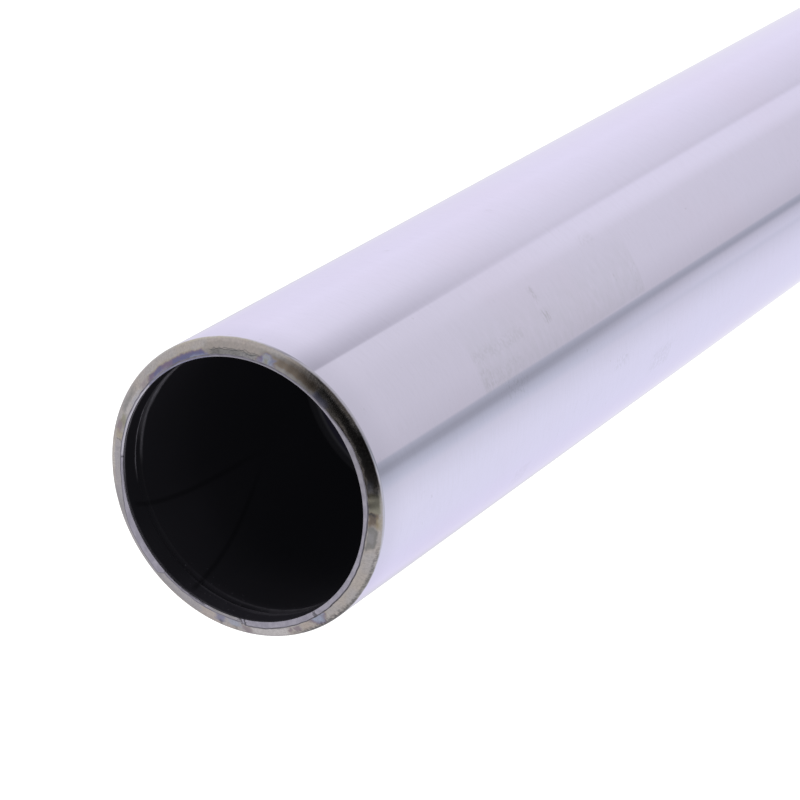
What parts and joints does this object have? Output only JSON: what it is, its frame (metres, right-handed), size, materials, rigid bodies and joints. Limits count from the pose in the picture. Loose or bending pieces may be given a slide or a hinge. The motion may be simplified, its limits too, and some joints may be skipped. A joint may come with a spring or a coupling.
{
  "type": "motorcycle fork tube",
  "caption": "Straight chromed steel fork tube with a bevelled mouth, an inner retaining ring groove and a stepped through bore.",
  "frame": {"origin": "centre of the lower end face, on the tube's axis", "axes": "+Z along the tube's axis, from the lower end up to the mouth with the ring groove; the tube is round, so +X and +Y are any two directions square to it"},
  "size_m": [0.041, 0.041, 0.6],
  "materials": {
    "chromed_steel": "ground and hard-chromed outside, mirror bright, with a bare turned and heat-tinted end"
  },
  "bodies": {
    "root": {"fork_tube": "chromed_steel"}
  },
  "joints": []
}
